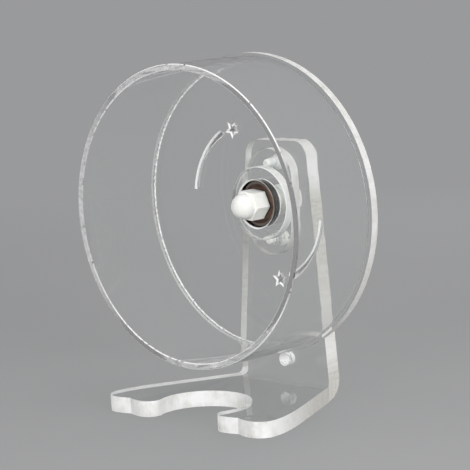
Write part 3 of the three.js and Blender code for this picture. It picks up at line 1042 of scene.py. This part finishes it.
def threaded_bar(name, radius, pitch, front, back, height, tip):
    """A screw's shank, with its crests at a radius and a cone of a given size at the front."""
    root = radius - THREAD_DEPTH_SHARE * pitch
    piece = one_vertex(name, (root, front - SPARE_TURNS * pitch, 0))
    for outwards in (1, -1):
        extrude(Vector((outwards * (radius - root), pitch / 2, 0)))
    leave_edit()
    modify(piece, "SCREW", axis="Y", steps=THREAD_STEPS, render_steps=THREAD_STEPS,
           screw_offset=pitch, iterations=math.ceil((back - front) / pitch) + 2 * SPARE_TURNS)
    edit(piece, "VERT")
    weld()
    for depth, outwards in ((front, -1), (back, 1)):
        bpy.ops.mesh.select_all(action="SELECT")
        bpy.ops.mesh.bisect(plane_co=(0, depth, 0), plane_no=(0, outwards, 0),
                            use_fill=True, clear_outer=True)
    bpy.ops.mesh.select_all(action="SELECT")
    bpy.ops.transform.translate(value=(0, 0, height))
    close_mesh()
    blank = [(0, front), (radius - tip, front), (radius + tip, front + 2 * tip),
             (radius + tip, back + OVERRUN), (0, back + OVERRUN)]
    boolean(piece, turned("tool", blank, SCREW_SIDES, height), "INTERSECT")
    return piece


print("a thread is", THREAD_DEPTH_SHARE, "pitches deep and has", THREAD_STEPS, "steps a turn")

# %% [markdown]
# The bolt comes from behind: its hexagon head, turned to a cone at the corners, bears on the
# back of the upright, and its end sits in the cap nut. Plastic bolts are moulded, so the
# arrises of the head are soft. A faint ring round the flat end is the mould's parting mark.

# %% Bolt
BOLT_PITCH = 1.25 * MM
BOLT_TIP = 0.8 * MM
HEAD_CONE = 1 * MM
HEAD_ROUNDING = 0.3 * MM
HEAD_OVERLAP = 1.5 * MM
BOLT_RADIUS = 3.85 * MM
MARK_RADIUS = 4.2 * MM
MARK_WIDTH = 0.4 * MM
MARK_DEPTH = 0.2 * MM
MARK_CHAMFER = 0.05 * MM

bolt_front, bolt_back = depths("axle_bolt")
upright_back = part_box("stand")[1].y
bolt = bar("hex_axle_bolt", corner_radius, upright_back, bolt_back, HEXAGON)
boolean(bolt, turned("tool", [
    (0, upright_back - OVERRUN), (past_corners, upright_back - OVERRUN),
    (past_corners, bolt_back - HEAD_CONE - OVERRUN / 2),
    (corner_radius - HEAD_CONE, bolt_back), (corner_radius - HEAD_CONE, bolt_back + OVERRUN),
    (0, bolt_back + OVERRUN),
], HUB_SIDES), "INTERSECT")
cut(bolt, ring("tool", MARK_RADIUS, MARK_RADIUS + MARK_WIDTH, bolt_back - MARK_DEPTH,
               bolt_back + OVERRUN, MARK_CHAMFER, SCREW_SIDES))
bevel_arrises(bolt, HEAD_ROUNDING, steps=2, sharper_than=MOULDING_CORNER)
boolean(bolt, threaded_bar("tool", BOLT_RADIUS, BOLT_PITCH, bolt_front,
                           upright_back + HEAD_OVERLAP, axis_height, BOLT_TIP), "UNION")
hand_over_moulding(bolt, "axle_bolt")

# %% [markdown]
# A short nylon spacer on the bolt keeps the turning bearing off the oval plate. It touches
# the inner race only.

# %% Spacer
SPACER_CHAMFER = 0.25 * MM
spacer = ring("axle_spacer_ring", BORE, radius_of("axle_spacer"), spacer_front, spacer_back,
              SPACER_CHAMFER, HOLE_SIDES)
hand_over(spacer, white_nylon, "stand_and_axle", "axle_spacer")

# %% [markdown]
# Two slotted nylon screws hold the oval plate. They are driven from behind, and their
# ends stand a millimetre and a half out of the plate, where they show as small white dots.

# %% Plate screws
SCREW_RADIUS = 2 * MM
SCREW_PITCH = 0.7 * MM
SCREW_TIP = 0.6 * MM
SLOT_WIDTH = 1 * MM
SLOT_DEPTH = 1.2 * MM
SLOT_LENGTH = 10 * MM

screw_heights = []
for node in ("upper_plate_screw", "lower_plate_screw"):
    low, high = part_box(node)
    height = (low.z + high.z) / 2
    screw_heights.append(height)
    head_radius = (high.x - low.x) / 2
    name = node.replace("plate", "slotted_plate")
    screw = bar(name, head_radius, upright_back, high.y, SCREW_SIDES, height)
    bevel_arrises(screw, HEAD_ROUNDING, steps=3)
    cut(screw, block("tool", (-SLOT_LENGTH / 2, high.y - SLOT_DEPTH, height - SLOT_WIDTH / 2),
                     (SLOT_LENGTH / 2, high.y + SLOT_DEPTH, height + SLOT_WIDTH / 2)))
    boolean(screw, threaded_bar("tool", SCREW_RADIUS, SCREW_PITCH, low.y,
                                upright_back + OVERRUN, height, SCREW_TIP), "UNION")
    hand_over_moulding(screw, node)

# %% [markdown]
# The oval plate stiffens the upright behind the wheel. A cylinder whose upper half is moved
# up and whose lower half is moved down has exactly its outline. Three holes go through it.

# %% Oval plate
OVAL_ARRIS = 0.45 * MM
TAPPED_RADIUS = 2.15 * MM
BOLT_HOLE = (BORE, HOLE_SIDES, axis_height)

low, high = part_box("oval_plate")
end_radius = (high.x - low.x) / 2
rise = (high.z - low.z) / 2 - end_radius
oval_back = upright_front - GLUE_LINE
oval = bar("clear_oval_plate", end_radius, oval_front, oval_back, WHEEL_SIDES)
middle = block("tool", (-end_radius, oval_front, axis_height - rise),
               (end_radius, oval_back, axis_height + rise))
for upwards in (1, -1):
    edit(oval, "VERT", lambda vertex: (vertex.co.z - axis_height) * upwards > WELD)
    bpy.ops.transform.translate(value=(0, 0, upwards * rise))
    leave_edit()
boolean(oval, middle, "UNION")
oval_holes = [BOLT_HOLE, *[(TAPPED_RADIUS, SCREW_SIDES, height) for height in screw_heights]]
drill(oval, oval_holes, oval_front, upright_front)
bevel_arrises(oval, OVAL_ARRIS)


def oval_finish(face):
    """The drilled holes are frosted in patches; the outside is cut and white."""
    edge = drilled_walls if in_a_hole(face, oval_holes) else oval_edges
    return by_lean(face, ALONG_AXIS, sheet_faces, edge, sheet_arris)


hand_over(oval, oval_finish, "stand_and_axle", "oval_plate")

# %% [markdown]
# The stand is one thick sheet, cut to its outline and bent while hot. Here it is bent
# first: a block the size of the foot has its rear face spun through a right angle, and then
# extruded up. Two drawn prisms, the plan of the foot and the face of the upright, trim it.

# %% Bent sheet
SHEET = 7.5 * MM
BEND_INNER_RADIUS = 2.5 * MM
BEND_STEPS = 24

low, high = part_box("stand")
half_base = high.x
foot_front = low.y
upright_top = high.z
bend_outer_radius = BEND_INNER_RADIUS + SHEET
bend_y = upright_back - bend_outer_radius
block_front = foot_front - OVERRUN
half_block = half_base + OVERRUN

stand = block("clear_bent_stand", (-half_block, block_front, 0), (half_block, bend_y, SHEET))
edit(stand, "FACE", lambda face: face.normal.y > FACE_LEAN)
bpy.ops.mesh.spin(steps=BEND_STEPS, angle=-math.pi / 2, center=(0, bend_y, bend_outer_radius),
                  axis=(1, 0, 0))
extrude((0, 0, upright_top - bend_outer_radius))
leave_edit()
print("bent sheet reaches", [round(size / MM, 2) for size in stand.dimensions], "mm")

# %% [markdown]
# The plan of the foot, from the middle outwards: the round cut-out, its lips, two shallow
# toes with a notch between them, the corner, and a flank that bows in to the fold. The left
# half is the right half, mirrored.

# %% Plan of the foot
FOLD_WIDTH = 56 * MM
CUTOUT_RADIUS = 22 * MM
CUTOUT_DEPTH = 38 * MM
LIP_RADIUS = 6 * MM
TOE_NOTCH_DEPTH = 1.8 * MM
CORNER_RADIUS = 8 * MM
FLANK_LENGTH = 36.5 * MM
FLANK_SPREAD = 15.5 * MM
BOW_REAR_SHARE = 0.44
BOW_FRONT_SHARE = 0.23
LONG_STEPS = 40
CORNER_STEPS = 20
TOE_STEPS = 8
FRONT = -math.pi / 2

half_fold = FOLD_WIDTH / 2
cutout_middle = foot_front + CUTOUT_DEPTH - CUTOUT_RADIUS
lip_y = foot_front + LIP_RADIUS
lip_x = math.sqrt((CUTOUT_RADIUS + LIP_RADIUS) ** 2 - (cutout_middle - lip_y) ** 2)
lip_angle = math.atan2(lip_y - cutout_middle, lip_x)
corner_x = half_base - CORNER_RADIUS
half_toe = (corner_x - lip_x) / 2
toe_radius = (half_toe ** 2 + TOE_NOTCH_DEPTH ** 2) / (2 * TOE_NOTCH_DEPTH)
toe_angle = math.atan2(half_toe, toe_radius - TOE_NOTCH_DEPTH)
toe_y = foot_front + toe_radius
bow_start = Vector((half_fold + FLANK_SPREAD, bend_y - FLANK_LENGTH + BEND_INNER_RADIUS))
bow_end = Vector((half_base, foot_front + CORNER_RADIUS))
drop = bow_start.y - bow_end.y
rear_handle = BOW_REAR_SHARE * drop * Vector((FLANK_SPREAD / FLANK_LENGTH, -1))
front_handle = Vector((0, BOW_FRONT_SHARE * drop))
bow = interpolate_bezier(bow_end, bow_end + front_handle, bow_start + rear_handle, bow_start,
                         LONG_STEPS)

right_plan = [
    *arc((0, cutout_middle), CUTOUT_RADIUS, math.pi / 2, lip_angle, LONG_STEPS),
    *arc((lip_x, lip_y), LIP_RADIUS, lip_angle + math.pi, 3 * math.pi / 2, CORNER_STEPS)[1:],
    *arc((lip_x, toe_y), toe_radius, FRONT, FRONT + toe_angle, TOE_STEPS)[1:],
    *arc((corner_x, toe_y), toe_radius, FRONT - toe_angle, FRONT, TOE_STEPS)[1:],
    *arc((corner_x, foot_front + CORNER_RADIUS), CORNER_RADIUS, FRONT, 0, CORNER_STEPS)[1:],
    *[(point.x, point.y) for point in bow[1:]],
    (half_fold, bend_y + BEND_INNER_RADIUS),
    (half_fold, upright_back + OVERRUN),
]
plan = [Vector((across, depth, -OVERRUN)) for across, depth in mirrored(right_plan)]
plan_prism = drawn_plate("tool", plan, Vector((0, 0, upright_top + 2 * OVERRUN)))
print("plan of the foot:", len(plan), "points")

# %% [markdown]
# The face of the upright tapers from the fold to a narrower top with round corners. After
# both trims come the holes: the bolt's, two wider ones round the screws, and one bare hole
# low in the upright. Every arris is then chamfered at once.

# %% Trimmed stand
TOP_WIDTH = 36 * MM
TOP_CORNER_RADIUS = 8 * MM
SCREW_HOLE_RADIUS = 2.75 * MM
LOWER_HOLE_RADIUS = 3.25 * MM
LOWER_HOLE_HEIGHT = 9.7 * MM
STAND_ARRIS = 0.4 * MM

half_top = TOP_WIDTH / 2
taper = math.atan2(half_fold - half_top, upright_top - bend_outer_radius)
top_corner_x = half_top - TOP_CORNER_RADIUS * (1 - math.tan(taper)) / math.cos(taper)
right_face = [
    (half_base + OVERRUN, -OVERRUN),
    (half_base + OVERRUN, bend_outer_radius),
    (half_fold, bend_outer_radius),
    *arc((top_corner_x, upright_top - TOP_CORNER_RADIUS), TOP_CORNER_RADIUS, taper, math.pi / 2,
         CORNER_STEPS),
]
outline = [Vector((across, block_front - OVERRUN, up)) for across, up in mirrored(right_face)]
through = Vector((0, upright_back - block_front + 3 * OVERRUN, 0))
face_prism = drawn_plate("tool", outline, through)
boolean(stand, plan_prism, "INTERSECT")
boolean(stand, face_prism, "INTERSECT")
stand_holes = [BOLT_HOLE, (LOWER_HOLE_RADIUS, HOLE_SIDES, SHEET + LOWER_HOLE_HEIGHT)]
stand_holes += [(SCREW_HOLE_RADIUS, HOLE_SIDES, height) for height in screw_heights]
drill(stand, stand_holes, upright_front, upright_back)
bevel_arrises(stand, STAND_ARRIS)


def sheet_faces_towards(point):
    """Up on the foot, back on the upright, and turning from one to the other in the bend."""
    if point.z > bend_outer_radius:
        return ALONG_AXIS
    if point.y < bend_y:
        return Vector((0, 0, 1))
    return Vector((0, point.y - bend_y, point.z - bend_outer_radius)).normalized()


def stand_finish(face):
    """Holes are frosted in patches; the cutter's lines run up on the foot and along Y above."""
    edge = foot_edges if face.center.z < bend_outer_radius else upright_edges
    if in_a_hole(face, stand_holes):
        edge = drilled_walls
    return by_lean(face, sheet_faces_towards(face.center), sheet_faces, edge, sheet_arris)


hand_over(stand, stand_finish, "stand_and_axle", "stand")

# %% [markdown]
# The floor is one very large pale sheet. The camera looks down on it so shallowly that it
# fills the whole view. Near the wheel it is plain matte paint that keeps the shadows. Farther
# off, where the lamps don't reach, it takes the backdrop's tone for the rays that look at it,
# straight or through the clear pieces, so that white edges stand out against one even tone.

# %% Floor
FLOOR_SIZE = 16
GRAIN_SIZE = 0.12
PAINT = (0.355, 0.357, 0.36, 1)
PAINT_PATCHES = (0.375, 0.376, 0.378, 1)
BACKDROP = (0.32, 0.323, 0.328, 1)
FADE_START = 0.12
FADE_END = 0.75


def seen_rays(finish):
    """1 for the rays that look at a surface, straight or by mirror and glass."""
    path = finish.node("LightPath")
    mirrored_or_straight = path["Is Camera Ray"].larger(path["Is Glossy Ray"])
    return mirrored_or_straight.larger(path["Is Transmission Ray"])


start_clean()
bpy.ops.mesh.primitive_plane_add(size=FLOOR_SIZE)
floor = finish_placing("floor")
paint = Finish("floor_paint")
grain = paint.noise(GRAIN_SIZE, detail=4.0)
matte = paint.principled(
    base_color=paint.colour(grain, PAINT, PAINT_PATCHES),
    roughness=0.8 + grain * 0.2,
    specular_ior_level=0.0)
backdrop = paint.node("Emission", {"Color": BACKDROP, "Strength": 1.0})["Emission"]
distance = paint.node("VectorMath", {0: paint.place}, operation="LENGTH")["Value"]
faded = distance.above((FADE_START + FADE_END) / 2, (FADE_END - FADE_START) / 2)
floor_finish = paint.show(paint.mixed(faded * seen_rays(paint), matte, backdrop))
dress(floor, floor_finish)
print("floor", FLOOR_SIZE, "m across")

# %% [markdown]
# An area lamp gives its light evenly over its face. Its power, in watts, is about ten times
# the square of its distance when it alone is to light a white surface to white. The table
# gives each lamp's place, width, height and share of that. The strongest stands to the right
# and the one at the left is weak, which leaves the edges that face left dim. The lamps show
# neither in mirrors nor through the clear pieces, where their images would look like white
# smudges. The world shows the backdrop's tone and gives a weak, even light.

# %% Lamps and world
WHITE_AT_ONE_METRE = math.pi ** 2
LOOK_AT = Vector((0, 0, 0.09))
EVEN_LIGHT = (0.14, 0.142, 0.145, 1)
LIGHT_BOUNCES = 32
LAMPS = {
    "key_lamp": ((0.15, -0.95, 0.4), 0.45, 0.4, 0.5),
    "right_lamp": ((0.9, -0.2, 0.35), 0.3, 0.5, 0.66),
    "left_lamp": ((-0.8, -0.45, 0.35), 0.15, 0.6, 0.2),
    "top_lamp": ((0.2, 0.2, 0.95), 0.6, 0.4, 0.36),
    "back_lamp": ((-0.45, 0.85, 0.45), 0.4, 0.4, 0.3),
}


def lamp(name, place, width, height, share):
    """An area lamp aimed at the wheel; share is the part of full white that it gives."""
    towards = LOOK_AT - Vector(place)
    bpy.ops.object.light_add(type="AREA", location=place)
    made = bpy.context.object
    made.name = name
    made.rotation_euler = towards.to_track_quat("-Z", "Y").to_euler()
    made.data.shape = "RECTANGLE"
    made.data.size = width
    made.data.size_y = height
    made.data.energy = WHITE_AT_ONE_METRE * towards.length_squared * share
    made.visible_glossy = False
    made.visible_transmission = False
    print(name, "at", round(towards.length, 2), "m,", round(made.data.energy, 1), "W")


for name, settings in LAMPS.items():
    lamp(name, *settings)

scene = bpy.context.scene
studio = Finish("studio", bpy.data.worlds)
tone = studio.colour(seen_rays(studio), EVEN_LIGHT, BACKDROP)
sky = studio.node("Background", {"Color": tone})["Background"]
scene.world = studio.show(sky, "OutputWorld")
scene.cycles.max_bounces = LIGHT_BOUNCES
scene.cycles.transmission_bounces = LIGHT_BOUNCES
scene.cycles.transparent_max_bounces = LIGHT_BOUNCES
scene.view_settings.view_transform = "Standard"
print("view transform:", scene.view_settings.view_transform)
